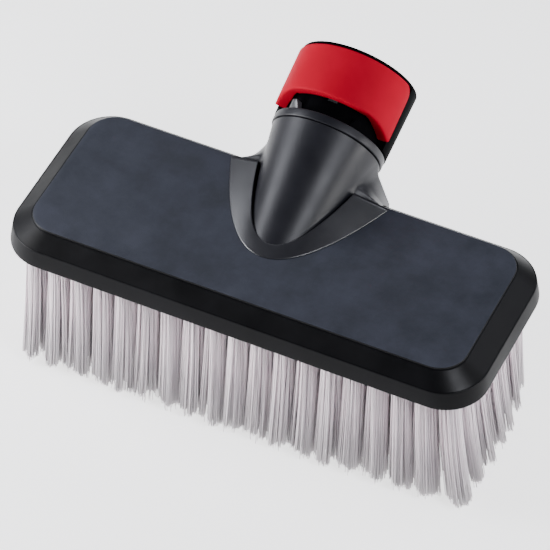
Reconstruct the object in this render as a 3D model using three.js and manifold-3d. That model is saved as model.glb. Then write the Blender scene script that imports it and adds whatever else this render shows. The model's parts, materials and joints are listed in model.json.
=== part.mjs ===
// Flow-through wash brush head with an angled neck and a slide-release lance coupling.
// Millimetres, +Z up. The origin is on the plane of the bristle tips, below the middle of the head;
// +X runs along the head and +Y points to the side that the neck leaves.
import * as THREE from 'three';
import { mergeVertices } from 'three/addons/utils/BufferGeometryUtils.js';
import Module from 'manifold-3d';

const wasm = await Module();
wasm.setup();

// ---------- driving dimensions ----------

const GAP = 0.3;                 // clearance between pieces that touch on the real head
const EPS = 0.5;                 // how far a cutting body runs past the surface that it cuts

// Cover: stacked rounded rectangles, widest at the rim.
const RIM_BOTTOM_Z = 58;         // bristle length below the rim
const RIM_TOP_Z = 66.3;
const TOP_FACE_Z = 72.9;
const RIM_LENGTH = 202.3;
const RIM_WIDTH = 82.1;
const RIM_TOP_LENGTH = 200;
const RIM_TOP_WIDTH = 80.3;
const RIM_CORNER = 18;
const TOP_FACE_LENGTH = 183.2;
const TOP_FACE_WIDTH = 67.8;
const TOP_FACE_CORNER = 11.4;
const COVER_WALL = 2.6;
const BLOCK_POCKET_TOP_Z = 66.5; // ledge inside the rim that the gasket is pressed on
const CHAMBER_TOP_Z = 70.3;      // ceiling of the water chamber
const CHAMBER_LENGTH = 180;
const CHAMBER_WIDTH = 62;
const CHAMBER_CORNER = 9;
const LEDGE_OPENING_LENGTH = 186;
const LEDGE_OPENING_WIDTH = 66;
const LEDGE_OPENING_CORNER = 11;

// Bristle block and its tufts.
const BLOCK_BOTTOM_Z = 59.2;
const BLOCK_TOP_Z = 64.8;
const BLOCK_CLEARANCE = 1.3;      // the rim's inner wall leans in towards the top
const GASKET_THICKNESS = 1.1;
const GASKET_BAND = 4;
const TUFT_PITCH_X = 9.8;
const TUFT_PITCH_Y = 10;
const TUFTS_PER_ROW = 19;
const ROW_COUNT = 7;
const TUFT_ROOT_RADIUS = 2.3;
const TUFT_TIP_RADIUS = 4.4;
const TUFT_SIDES = 6;
const FRONT_FLARE = 3;           // how far the outer tufts lean out at their tips
const STRIP_WIDTH = 2.4;         // strip that holds the roots of one row together
const STRIP_HEIGHT = 3.2;

// Water jets and screws sit in the middle of four tufts.
const JET_X = [-63.7, -24.5, 24.5, 63.7];
const JET_Y = -5;
const JET_BARREL_RADIUS = 2.3;
const JET_FLANGE_RADIUS = 3.6;
const JET_BORE_RADIUS = 1.2;
const BLOCK_SCREW_X = [-83.3, -34.3, 34.3, 83.3];
const BLOCK_SCREW_Y = [-25, 25];
const SCREW_HEAD_RADIUS = 3;
const SCREW_HEAD_HEIGHT = 1.8;
const SCREW_SHANK_RADIUS = 1.4;
const SCREW_POST_RADIUS = 3.6;
const BLOCK_SCREW_LENGTH = 8;
const JET_FLANGE_THICKNESS = 1.2;
const JET_RECESS = 0.4;          // how far the jet's mouth stands back in the block
const SCREW_SIDES = 8;
const SCREW_PILOT_ROOF = 0.4;
const GASKET_INSET = 0.8;

// Neck: a cone whose axis rises from the plate towards +Y. Places along it are given as a
// distance from the seam between neck and retaining ring, positive towards the lance.
const NECK_ANGLE = THREE.MathUtils.degToRad(20.98);
const SEAM_CENTRE = new THREE.Vector3(0, 48, RIM_BOTTOM_Z + 21.3);
const SEAM_RADIUS = 22.9;
const NECK_TAPER = 0.165;        // radius lost for each millimetre towards the plate
const NECK_START = -60;
const NECK_WALL = 3;
const NECK_FOOT_Z = RIM_BOTTOM_Z + 0.5;
const NECK_SIDES = 40;
const NECK_FLOOR = 3;
const NECK_SCREW_PLACES = { left: [-10.4, 27], right: [10.4, 27], front: [0, 5] };
const NECK_SCREW_LENGTH = 8;
const NECK_SCREW_POST = 3.6;
const NECK_SCREW_POST_HEIGHT = 9;
const NECK_PILOT_DEPTH = 5.6;

// Cheeks that spread from the neck's flanks, section by section. Heights are above the rim's
// lower edge: [y, half width at the foot, height of the foot, half width at the shoulder].
const CHEEK_SHOULDER = 22.2;
const CHEEK_SECTIONS = [
  [29.4, 24, 14, 17.8],
  [33.3, 32.6, 14.4, 19.3],
  [38, 31.4, 8.5, 20.2],
  [44, 29.4, 4.5, 21.1],
  [47.4, 28.2, 2.6, 21.7],
];

// Water inlet in the cover, and the elbow that brings water to it from the coupling.
const INLET_Y = 18;
const INLET_HOLE_RADIUS = 4.4;
const SEAL_POCKET_RADIUS = 6.4;
const SEAL_POCKET_DEPTH = 1.6;
const INLET_SEAL = { mean: 5.3, cord: 0.65 };
const ELBOW_OUTER_RADIUS = 4;
const ELBOW_INNER_RADIUS = 2.8;

// Saddle collar on the cover: its foot is a parabola on the top face.
const COLLAR_APEX_Y = -10.6;
const COLLAR_CURVE = 0.0375;
const COLLAR_CREST_CORNER = [19.3, 29.6];
const COLLAR_FOOT_CORNER = [32.8, 33.2];
const COLLAR_CREST_HEIGHT = 6.9;
const COLLAR_STEP = 0.35;

// Coupling, measured out from the neck's axis.
const RING_RADIUS = 23.5;
const RING_END = 3.8;
const HOUSING_RADIUS = 23.8;
const HOUSING_END = 33.6;
const CORE_RADIUS = 20;
const SPIGOT_RADIUS = 17;
const SPIGOT_START = -8;
const SOCKET_RADIUS = 13.5;
const SOCKET_START = 3;
const SOCKET_LEAD_IN = 14.8;
const LUG_SLOT_RADIUS = 16.2;
const LUG_SLOT_WIDTH = 6;
const LUG_SLOT_START = 15;
const WATERWAY_RADIUS = 4.4;       // seat of the water elbow in the spigot
const WATERWAY_SEAT = -3.5;
const WINDOW_HALF_ANGLE = 78;    // degrees each side of the top
const SLIDE_OUTER_RADIUS = 25.3;
const SLIDE_WALL = 3;
const SLIDE_HALF_ANGLE = 75.5;
const SLIDE_START = 11.3;
const SLIDE_END = 32.2;
const SLIDE_CORNER = 4.5;
const SLIDE_TRAVEL = 3;
const SLIDE_RIB_THICKNESS = 2.5; // ribs that press on the springs
const SLIDE_TAB_ANGLE = 40;       // degrees from the top at which a tab starts
const SLIDE_TAB_LENGTH = 4;
const SLIDE_TAB_WALL = 4.8;
const SPRING_ANGLE = 32;         // degrees each side of the top
const SPRING_CENTRE_RADIUS = 19.6;
const SPRING_RADIUS = 1.5;
const SPRING_WIRE_RADIUS = 0.28;
const SPRING_TURNS = 6;
const SPRING_START = 13.4;
const SPRING_END = 26.2;
const CHANNEL_FLOOR_RADIUS = 17.5;
const CHANNEL_WIDTH = 4.6;
const CHANNEL_START = 13;
const CHANNEL_END = 31;
const TONGUE_WIDTH = 5.6;
const TONGUE_INNER_RADIUS = 12.4;
const TONGUE_START = 16.5;
const TONGUE_END = 21.5;
const GUIDE_RIB_ANGLE = 37;
const GUIDE_RIB_BASE = 5.6;
const GUIDE_RIB_TIP = 2.4;
const GUIDE_RIB_RADIUS = 22.8;
const LANCE_SEAL = { mean: 7, cord: 0.85 };
const LANCE_SEAL_SEAT_RADIUS = 8.5;
const LANCE_SEAL_SEAT_DEPTH = 4.4;
const SPACER_INNER_RADIUS = 6.2;
const SPACER_OUTER_RADIUS = 8.2;
const SPACER_THICKNESS = 0.7;
const PIN_ANGLES = { left: -150, right: 150 };
const PIN_ALONG = -4;
const PIN_RADIUS = 1.5;

// ---------- colours ----------

const finish = (color, roughness, metalness = 0) => ({ color, roughness, metalness });
const COVER_PLASTIC = finish(0x41434e, 0.55);
const NECK_PLASTIC = finish(0x3a3b41, 0.38);
const COUPLING_PLASTIC = finish(0x1c1d20, 0.35);
const RED_PLASTIC = finish(0xc8142a, 0.3);
const BLOCK_PLASTIC = finish(0xc9c6c8, 0.6);
const BRISTLE = finish(0xd2c8cd, 0.6);
const RUBBER = finish(0x17181a, 0.8);
const TUBE_PLASTIC = finish(0x8b8f94, 0.5);
const STEEL = finish(0xb8babd, 0.35, 1);
const BRASS = finish(0xb08d4a, 0.35, 1);

// ---------- solids ----------

function solidOf(geometry, matrix) {
  const bare = geometry.index ? geometry.toNonIndexed() : geometry.clone();
  bare.deleteAttribute('normal');
  bare.deleteAttribute('uv');
  if (matrix) bare.applyMatrix4(matrix);
  const merged = mergeVertices(bare, 1e-4);
  return new wasm.Manifold(new wasm.Mesh({
    numProp: 3,
    vertProperties: Float32Array.from(merged.attributes.position.array),
    triVerts: Uint32Array.from(merged.index.array),
  }));
}

function geometryOf(solid) {
  const mesh = solid.getMesh();
  const geometry = new THREE.BufferGeometry();
  geometry.setAttribute('position', new THREE.BufferAttribute(mesh.vertProperties, 3));
  geometry.setIndex(new THREE.BufferAttribute(mesh.triVerts, 1));
  return geometry;
}

// Skins a list of rings, each a loop of points with the same count, and closes both ends.
function loftGeometry(rings) {
  const count = rings[0].length;
  const positions = rings.flat().flatMap((point) => [point.x, point.y, point.z]);
  const index = [];
  for (let ring = 0; ring + 1 < rings.length; ring += 1) {
    for (let side = 0; side < count; side += 1) {
      const next = (side + 1) % count;
      const low = ring * count;
      const high = low + count;
      index.push(low + side, low + next, high + next, low + side, high + next, high + side);
    }
  }
  const last = (rings.length - 1) * count;
  for (let side = 1; side + 1 < count; side += 1) {
    index.push(0, side + 1, side, last, last + side, last + side + 1);
  }
  const geometry = new THREE.BufferGeometry();
  geometry.setAttribute('position', new THREE.Float32BufferAttribute(positions, 3));
  geometry.setIndex(index);
  return geometry;
}

function roundedRectangle(length, width, radius, z, arcSteps = 6) {
  const ring = [];
  const corners = [[1, 1, 0], [-1, 1, 90], [-1, -1, 180], [1, -1, 270]];
  for (const [sideX, sideY, startDegrees] of corners) {
    for (let step = 0; step <= arcSteps; step += 1) {
      const angle = THREE.MathUtils.degToRad(startDegrees + (90 * step) / arcSteps);
      ring.push(new THREE.Vector3(
        sideX * (length / 2 - radius) + radius * Math.cos(angle),
        sideY * (width / 2 - radius) + radius * Math.sin(angle),
        z,
      ));
    }
  }
  return ring;
}

// A body turned about the local Z axis from [radius, z] corners, closed on itself.
function turned(profile, sides = 32) {
  const points = [...profile, profile[0]].map(([radius, z]) => new THREE.Vector2(radius, z));
  const geometry = new THREE.LatheGeometry(points, sides);
  geometry.rotateX(Math.PI / 2);
  return geometry;
}

function rod(radius, bottom, top, sides = 24) {
  return turned([[0, bottom], [radius, bottom], [radius, top], [0, top]], sides);
}

function placed(x, y, z = 0) {
  return new THREE.Matrix4().makeTranslation(x, y, z);
}

function block(size, centre) {
  return solidOf(new THREE.BoxGeometry(...size), placed(...centre));
}

// Turns and moves the neck's own frame (local Z along its axis, local -Y at its top) into place.
const NECK_FRAME = new THREE.Matrix4().makeRotationX(NECK_ANGLE - Math.PI / 2);
NECK_FRAME.setPosition(SEAM_CENTRE);

// Point at a place along the neck, an angle from its top and a radius, in the neck's frame.
function aroundNeck(along, degrees, radius) {
  const angle = THREE.MathUtils.degToRad(degrees);
  return new THREE.Vector3(radius * Math.sin(angle), -radius * Math.cos(angle), along);
}

// A block standing on the neck's axis at an angle from its top, in the neck's frame.
function radialBlock(degrees, width, innerRadius, outerRadius, start, end) {
  const geometry = new THREE.BoxGeometry(width, outerRadius - innerRadius, end - start);
  geometry.translate(0, -(innerRadius + outerRadius) / 2, (start + end) / 2);
  geometry.rotateZ(THREE.MathUtils.degToRad(degrees));
  return solidOf(geometry);
}

// ---------- assembly ----------

const head = new THREE.Group();
const coupling = new THREE.Group();
coupling.rotation.x = NECK_ANGLE - Math.PI / 2;
coupling.position.copy(SEAM_CENTRE);
head.add(coupling);

function addPart(parent, name, shape, look) {
  const geometry = shape instanceof THREE.BufferGeometry ? shape : geometryOf(shape);
  const mesh = new THREE.Mesh(geometry, new THREE.MeshStandardMaterial(look));
  mesh.name = name;
  parent.add(mesh);
  return mesh;
}

// ---------- cover and neck envelopes ----------

// Outer form of the cover, grown by a margin so that it can also clear its neighbours.
function coverEnvelope(grow = 0) {
  return solidOf(loftGeometry([
    roundedRectangle(RIM_LENGTH + 2 * grow, RIM_WIDTH + 2 * grow, RIM_CORNER + grow, RIM_BOTTOM_Z - grow),
    roundedRectangle(RIM_TOP_LENGTH + 2 * grow, RIM_TOP_WIDTH + 2 * grow, RIM_CORNER + grow,
      RIM_TOP_Z + grow),
    roundedRectangle(TOP_FACE_LENGTH + 2 * grow, TOP_FACE_WIDTH + 2 * grow, TOP_FACE_CORNER + grow,
      TOP_FACE_Z + grow),
  ]));
}

function neckCone(inset, start, end) {
  const radiusAt = (along) => SEAM_RADIUS + NECK_TAPER * along - inset;
  const cone = turned([[0, start], [radiusAt(start), start], [radiusAt(end), end], [0, end]], NECK_SIDES);
  return solidOf(cone, NECK_FRAME);
}

// Half width of the neck's cone at a height, on the plane across the head at y.
function coneHalfWidth(y, z) {
  const back = y - SEAM_CENTRE.y;
  const up = z - SEAM_CENTRE.z;
  const along = back * Math.cos(NECK_ANGLE) + up * Math.sin(NECK_ANGLE);
  const across = up * Math.cos(NECK_ANGLE) - back * Math.sin(NECK_ANGLE);
  const radius = SEAM_RADIUS + NECK_TAPER * along;
  return Math.sqrt(Math.max(0, radius * radius - across * across));
}

// Section of the collar across the head: a low step at its foot, then a slope up to the cone.
function collarSection(y) {
  const share = (y - COLLAR_APEX_Y) / (COLLAR_FOOT_CORNER[1] - COLLAR_APEX_Y);
  const foot = Math.sqrt((y - COLLAR_APEX_Y) / COLLAR_CURVE);
  const stepZ = TOP_FACE_Z + COLLAR_STEP;
  const crestZ = stepZ + COLLAR_CREST_HEIGHT * Math.pow(share, 0.75);
  const crest = Math.max(coneHalfWidth(y, crestZ), 0.15 * foot);
  return [
    [-foot, TOP_FACE_Z - EPS], [-foot, stepZ], [-crest, crestZ],
    [crest, crestZ], [foot, stepZ], [foot, TOP_FACE_Z - EPS],
  ].map(([x, z]) => new THREE.Vector3(x, y, z));
}

// Everything behind the slanted ends of the collar, where the neck's cheeks begin.
function behindCollar(margin) {
  const [crestX, crestY] = COLLAR_CREST_CORNER;
  const [footX, footY] = COLLAR_FOOT_CORNER;
  const slope = (footY - crestY) / (footX - crestX);
  const far = 60;
  const shape = new THREE.Shape();
  shape.moveTo(-far, footY + slope * (far - footX) + margin);
  shape.lineTo(-crestX, crestY + margin);
  shape.lineTo(crestX, crestY + margin);
  shape.lineTo(far, footY + slope * (far - footX) + margin);
  shape.lineTo(far, 2 * far);
  shape.lineTo(-far, 2 * far);
  return solidOf(new THREE.ExtrudeGeometry(shape, { depth: 2 * far, bevelEnabled: false }),
    placed(0, 0, RIM_BOTTOM_Z - far));
}

function collarBody() {
  const sections = [];
  const steps = 10;
  for (let step = 0; step <= steps; step += 1) {
    const share = Math.pow(step / steps, 1.5);
    const y = COLLAR_APEX_Y + 0.05 + share * (COLLAR_FOOT_CORNER[1] + 1 - COLLAR_APEX_Y);
    sections.push(collarSection(y));
  }
  return solidOf(loftGeometry(sections));
}

function cheekBody() {
  const rings = CHEEK_SECTIONS.map(([y, outer, foot, shoulder]) => [
    [-outer, -1], [-outer, foot], [-shoulder, CHEEK_SHOULDER],
    [shoulder, CHEEK_SHOULDER], [outer, foot], [outer, -1],
  ].map(([x, z]) => new THREE.Vector3(x, y, RIM_BOTTOM_Z + z)));
  return solidOf(loftGeometry(rings));
}

// ---------- cover ----------

function coverBody() {
  let body = coverEnvelope();
  const collar = collarBody()
    .subtract(behindCollar(0))
    .subtract(neckCone(-GAP, NECK_START, 0));
  body = body.add(collar);
  const pocket = solidOf(loftGeometry([
    roundedRectangle(RIM_LENGTH - 2 * COVER_WALL, RIM_WIDTH - 2 * COVER_WALL, RIM_CORNER - COVER_WALL,
      RIM_BOTTOM_Z - EPS),
    roundedRectangle(RIM_TOP_LENGTH - 2 * COVER_WALL, RIM_TOP_WIDTH - 2 * COVER_WALL,
      RIM_CORNER - COVER_WALL, BLOCK_POCKET_TOP_Z),
  ]));
  const chamber = solidOf(loftGeometry([
    roundedRectangle(LEDGE_OPENING_LENGTH, LEDGE_OPENING_WIDTH, LEDGE_OPENING_CORNER,
      BLOCK_POCKET_TOP_Z - EPS),
    roundedRectangle(CHAMBER_LENGTH, CHAMBER_WIDTH, CHAMBER_CORNER, CHAMBER_TOP_Z),
  ]));
  body = body.subtract(pocket).subtract(chamber);
  for (const x of BLOCK_SCREW_X) {
    for (const y of BLOCK_SCREW_Y) {
      const post = solidOf(rod(SCREW_POST_RADIUS, BLOCK_TOP_Z + GAP, CHAMBER_TOP_Z + EPS, 12), placed(x, y));
      const pilot = solidOf(
        rod(SCREW_SHANK_RADIUS + GAP, RIM_BOTTOM_Z, CHAMBER_TOP_Z - SCREW_PILOT_ROOF, SCREW_SIDES),
        placed(x, y));
      body = body.add(post).subtract(pilot);
    }
  }
  for (const [x, y] of Object.values(NECK_SCREW_PLACES)) {
    body = body.subtract(solidOf(rod(SCREW_SHANK_RADIUS + GAP, CHAMBER_TOP_Z - EPS, TOP_FACE_Z + EPS, 8),
      placed(x, y)));
  }
  const inlet = solidOf(rod(INLET_HOLE_RADIUS, CHAMBER_TOP_Z - EPS, TOP_FACE_Z + EPS), placed(0, INLET_Y));
  const sealPocket = solidOf(rod(SEAL_POCKET_RADIUS, TOP_FACE_Z - SEAL_POCKET_DEPTH, TOP_FACE_Z + EPS),
    placed(0, INLET_Y));
  return body.subtract(inlet).subtract(sealPocket);
}

addPart(head, 'top_cover', coverBody(), COVER_PLASTIC);

// ---------- gasket and bristle block ----------

function perimeterBand(outerInset, bottom, top) {
  const inset = COVER_WALL + BLOCK_CLEARANCE;
  const length = RIM_LENGTH - 2 * inset;
  const width = RIM_WIDTH - 2 * inset;
  const corner = RIM_CORNER - inset;
  return solidOf(loftGeometry([
    roundedRectangle(length - 2 * outerInset, width - 2 * outerInset, corner - outerInset, bottom),
    roundedRectangle(length - 2 * outerInset, width - 2 * outerInset, corner - outerInset, top),
  ]));
}

const gasketBottom = BLOCK_TOP_Z + GAP;
addPart(head, 'cover_gasket',
  perimeterBand(GASKET_INSET, gasketBottom, gasketBottom + GASKET_THICKNESS)
    .subtract(perimeterBand(GASKET_INSET + GASKET_BAND, gasketBottom - EPS,
      gasketBottom + GASKET_THICKNESS + EPS)),
  RUBBER);

const rowPlaces = Array.from({ length: ROW_COUNT },
  (_, row) => (row - (ROW_COUNT - 1) / 2) * TUFT_PITCH_Y);
const tuftPlaces = Array.from({ length: TUFTS_PER_ROW },
  (_, tuft) => (tuft - (TUFTS_PER_ROW - 1) / 2) * TUFT_PITCH_X);
const rowLength = (TUFTS_PER_ROW - 1) * TUFT_PITCH_X + 2 * TUFT_ROOT_RADIUS;

function blockBody() {
  let body = perimeterBand(0, BLOCK_BOTTOM_Z, BLOCK_TOP_Z);
  for (const y of rowPlaces) {
    body = body.subtract(block(
      [rowLength + 2 * GAP, STRIP_WIDTH + 2 * GAP, STRIP_HEIGHT + GAP + EPS],
      [0, y, BLOCK_BOTTOM_Z + (STRIP_HEIGHT + GAP - EPS) / 2],
    ));
  }
  for (const x of BLOCK_SCREW_X) {
    for (const y of BLOCK_SCREW_Y) {
      const shank = solidOf(rod(SCREW_SHANK_RADIUS + GAP, BLOCK_BOTTOM_Z - EPS, BLOCK_TOP_Z + EPS, 8),
        placed(x, y));
      const headRecess = solidOf(rod(SCREW_HEAD_RADIUS + GAP, BLOCK_BOTTOM_Z - EPS,
        BLOCK_BOTTOM_Z + SCREW_HEAD_HEIGHT + GAP, 12), placed(x, y));
      body = body.subtract(shank).subtract(headRecess);
    }
  }
  for (const x of JET_X) {
    body = body.subtract(solidOf(rod(JET_BARREL_RADIUS + GAP, BLOCK_BOTTOM_Z - EPS, BLOCK_TOP_Z + EPS, 12),
      placed(x, JET_Y)));
  }
  return body;
}

addPart(head, 'bristle_block', blockBody(), BLOCK_PLASTIC);

// One row of tufts: the strip that holds their roots, and a flaring faceted tuft at each place.
function rowBody(y) {
  const rootTop = BLOCK_BOTTOM_Z - GAP;
  const stripHeight = STRIP_HEIGHT + 2 * GAP;
  let body = block([rowLength, STRIP_WIDTH, stripHeight],
    [0, y, BLOCK_BOTTOM_Z + STRIP_HEIGHT - stripHeight / 2]);
  const lean = FRONT_FLARE * Math.sign(y) * Math.pow(Math.abs(y) / rowPlaces.at(-1), 4);
  for (const x of tuftPlaces) {
    const endLean = FRONT_FLARE * Math.sign(x) * Math.pow(Math.abs(x) / tuftPlaces.at(-1), 12);
    const ring = (radius, z, shiftX, shiftY) => Array.from({ length: TUFT_SIDES }, (_, side) => {
      const angle = (2 * Math.PI * side) / TUFT_SIDES;
      return new THREE.Vector3(
        x + shiftX + radius * Math.cos(angle), y + shiftY + radius * Math.sin(angle), z);
    });
    const tuft = solidOf(loftGeometry([
      ring(TUFT_TIP_RADIUS, 0, endLean, lean),
      ring(TUFT_ROOT_RADIUS, rootTop, 0, 0),
    ]));
    body = body.add(tuft);
  }
  return body;
}

rowPlaces.forEach((y, row) => {
  addPart(head, `bristle_row_${row + 1}`, rowBody(y), BRISTLE);
});

// ---------- water jets and block screws ----------

JET_X.forEach((x, jet) => {
  const flangeBottom = BLOCK_TOP_Z + GAP;
  const profile = [
    [JET_BORE_RADIUS, BLOCK_BOTTOM_Z + JET_RECESS],
    [JET_BARREL_RADIUS, BLOCK_BOTTOM_Z + JET_RECESS],
    [JET_BARREL_RADIUS, flangeBottom],
    [JET_FLANGE_RADIUS, flangeBottom],
    [JET_FLANGE_RADIUS, flangeBottom + JET_FLANGE_THICKNESS],
    [JET_BORE_RADIUS, flangeBottom + JET_FLANGE_THICKNESS],
  ];
  const insert = addPart(head, `water_jet_${jet + 1}`, solidOf(turned(profile, 12)), BRASS);
  insert.position.set(x, JET_Y, 0);
});

// Pan-head screw standing point up with its head's underside at the local origin.
function screwBody(shankLength) {
  return solidOf(turned([
    [0, -SCREW_HEAD_HEIGHT],
    [SCREW_HEAD_RADIUS * 0.8, -SCREW_HEAD_HEIGHT],
    [SCREW_HEAD_RADIUS, -SCREW_HEAD_HEIGHT * 0.6],
    [SCREW_HEAD_RADIUS, 0],
    [SCREW_SHANK_RADIUS, 0],
    [SCREW_SHANK_RADIUS, shankLength - 1],
    [0, shankLength],
  ], SCREW_SIDES));
}

BLOCK_SCREW_X.forEach((x, column) => {
  BLOCK_SCREW_Y.forEach((y, line) => {
    const name = `block_screw_${column * BLOCK_SCREW_Y.length + line + 1}`;
    const screw = addPart(head, name, screwBody(BLOCK_SCREW_LENGTH), STEEL);
    screw.position.set(x, y, BLOCK_BOTTOM_Z + SCREW_HEAD_HEIGHT);
  });
});

// ---------- neck ----------

// Water elbow: leaves the coupling's spigot along the neck's axis and turns down into the cover.
// Without a bore it is the room that the elbow needs.
function elbowBody(outerRadius, boreRadius) {
  const circle = (radius) => new THREE.Path().absarc(0, 0, radius, 0, 2 * Math.PI, false);
  const section = new THREE.Shape(circle(outerRadius).getPoints(5));
  if (boreRadius) section.holes.push(circle(boreRadius));
  const axis = new THREE.Vector3(0, Math.cos(NECK_ANGLE), Math.sin(NECK_ANGLE));
  const route = new THREE.CatmullRomCurve3([
    SEAM_CENTRE.clone().addScaledVector(axis, WATERWAY_SEAT - 0.8),
    SEAM_CENTRE.clone().addScaledVector(axis, SPIGOT_START + 1),
    SEAM_CENTRE.clone().addScaledVector(axis, SPIGOT_START - 2),
    new THREE.Vector3(0, 33, TOP_FACE_Z + 6.4),
    new THREE.Vector3(0, 25, TOP_FACE_Z + 8),
    new THREE.Vector3(0, 19.6, TOP_FACE_Z + 6.2),
    new THREE.Vector3(0, INLET_Y, TOP_FACE_Z + 2.5),
    new THREE.Vector3(0, INLET_Y, TOP_FACE_Z - 2),
  ]);
  return solidOf(new THREE.ExtrudeGeometry(section, {
    steps: 14, curveSegments: 5, extrudePath: route, bevelEnabled: false,
  }));
}

function neckBody() {
  const cheeks = cheekBody().intersect(behindCollar(GAP));
  const outer = neckCone(0, NECK_START, -0.15).add(cheeks);
  let body = outer.subtract(coverEnvelope(GAP));
  body = body.subtract(block([400, 400, 100], [0, 0, NECK_FOOT_Z - 50]));
  let hollow = neckCone(NECK_WALL, NECK_START, 1).subtract(coverEnvelope(GAP + NECK_FLOOR));
  hollow = hollow.subtract(block([400, 400, 100], [0, 0, NECK_FOOT_Z + NECK_FLOOR - 50]));
  for (const [x, y] of Object.values(NECK_SCREW_PLACES)) {
    hollow = hollow.subtract(solidOf(
      rod(NECK_SCREW_POST, TOP_FACE_Z, TOP_FACE_Z + NECK_SCREW_POST_HEIGHT, 16), placed(x, y)));
  }
  body = body.subtract(hollow);
  body = body.subtract(solidOf(rod(SPIGOT_RADIUS + GAP, SPIGOT_START - GAP, 1, NECK_SIDES), NECK_FRAME));
  for (const [x, y] of Object.values(NECK_SCREW_PLACES)) {
    body = body.subtract(solidOf(
      rod(SCREW_SHANK_RADIUS + GAP, TOP_FACE_Z - EPS, TOP_FACE_Z + NECK_PILOT_DEPTH, SCREW_SIDES),
      placed(x, y)));
  }
  body = body.subtract(elbowBody(ELBOW_OUTER_RADIUS + GAP));
  for (const degrees of Object.values(PIN_ANGLES)) {
    body = body.subtract(pinHole(degrees, SPIGOT_RADIUS - 1, SEAM_RADIUS + 3));
  }
  return body;
}

// Hole across the neck's wall, on a radius, for one of the two coupling pins.
function pinHole(degrees, inner, outer) {
  return pinCylinder(degrees, PIN_RADIUS + GAP, inner, outer, NECK_FRAME);
}

function pinCylinder(degrees, radius, inner, outer, frame) {
  const geometry = rod(radius, inner, outer, 8);
  geometry.rotateX(Math.PI / 2);
  geometry.rotateZ(THREE.MathUtils.degToRad(degrees));
  geometry.translate(0, 0, PIN_ALONG);
  return solidOf(geometry, frame);
}

addPart(head, 'neck', neckBody(), NECK_PLASTIC);

for (const [side, [x, y]] of Object.entries(NECK_SCREW_PLACES)) {
  const screw = addPart(head, `neck_screw_${side}`, screwBody(NECK_SCREW_LENGTH), STEEL);
  screw.position.set(x, y, CHAMBER_TOP_Z - GAP);
}

addPart(head, 'inlet_elbow', elbowBody(ELBOW_OUTER_RADIUS, ELBOW_INNER_RADIUS), TUBE_PLASTIC);

function sealRing({ mean, cord }) {
  return solidOf(new THREE.TorusGeometry(mean, cord, 6, 20));
}

const inletSeal = addPart(head, 'inlet_o_ring', sealRing(INLET_SEAL), RUBBER);
inletSeal.position.set(0, INLET_Y, TOP_FACE_Z - SEAL_POCKET_DEPTH + INLET_SEAL.cord + 0.1);

// ---------- coupling ----------

addPart(coupling, 'retaining_ring', solidOf(turned([
  [SPIGOT_RADIUS + GAP, 0.25],
  [RING_RADIUS - 0.5, 0.25],
  [RING_RADIUS, 0.7],
  [RING_RADIUS, RING_END - 0.4],
  [RING_RADIUS - 0.4, RING_END],
  [SPIGOT_RADIUS + GAP, RING_END],
], 40)), NECK_PLASTIC);

// Sector of a ring about the local Z axis, centred on the coupling's top.
function sectorBody(inner, outer, halfAngle, start, end, steps) {
  const shape = new THREE.Shape();
  const point = (radius, degrees) => {
    const place = aroundNeck(0, degrees, radius);
    return [place.x, place.y];
  };
  for (let step = 0; step <= steps; step += 1) {
    const degrees = -halfAngle + (2 * halfAngle * step) / steps;
    if (step === 0) shape.moveTo(...point(outer, degrees));
    else shape.lineTo(...point(outer, degrees));
  }
  for (let step = steps; step >= 0; step -= 1) {
    shape.lineTo(...point(inner, -halfAngle + (2 * halfAngle * step) / steps));
  }
  const geometry = new THREE.ExtrudeGeometry(shape, { depth: end - start, bevelEnabled: false });
  return solidOf(geometry, placed(0, 0, start));
}

// Wedge that guides the slide, widest at the retaining ring.
function guideRib(degrees) {
  const start = RING_END + GAP;
  const end = SLIDE_START - SLIDE_TRAVEL - GAP;
  const root = CORE_RADIUS - 0.8;
  const shape = new THREE.Shape();
  shape.moveTo(-GUIDE_RIB_BASE / 2, start);
  shape.lineTo(GUIDE_RIB_BASE / 2, start);
  shape.lineTo(GUIDE_RIB_TIP / 2, end);
  shape.lineTo(-GUIDE_RIB_TIP / 2, end);
  const geometry = new THREE.ExtrudeGeometry(shape, { depth: GUIDE_RIB_RADIUS - root, bevelEnabled: false });
  geometry.rotateX(Math.PI / 2);
  geometry.translate(0, -root, 0);
  geometry.rotateZ(THREE.MathUtils.degToRad(degrees));
  return solidOf(geometry);
}

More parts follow.
